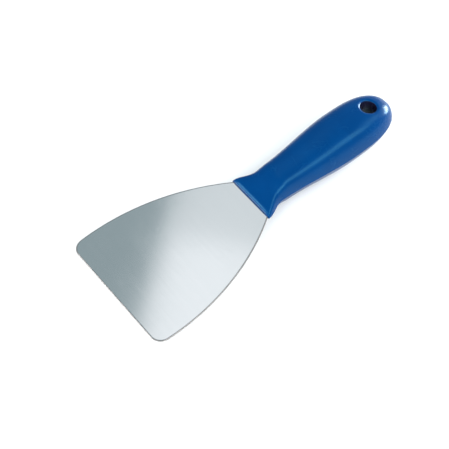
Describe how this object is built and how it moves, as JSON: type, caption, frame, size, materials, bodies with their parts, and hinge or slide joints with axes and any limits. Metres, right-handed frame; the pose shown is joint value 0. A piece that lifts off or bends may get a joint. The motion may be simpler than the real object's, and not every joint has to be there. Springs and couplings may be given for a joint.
{
  "type": "taping knife",
  "caption": "Flared stainless blade with a straight working edge, its tang moulded into a swelling plastic handle with a hang hole.",
  "frame": {"origin": "on the axis of the hang hole, in the middle plane of the blade", "axes": "+X from the hang hole towards the working edge, +Z along the hang hole, square to the blade's face"},
  "size_m": [0.1954, 0.08, 0.0266],
  "materials": {
    "blade": "fine satin, polished sheet steel",
    "core": "plain first-shot moulding",
    "handle": "glossy moulded plastic"
  },
  "bodies": {
    "root": {"blade": "blade", "handle_core": "core", "handle": "handle"}
  },
  "joints": []
}
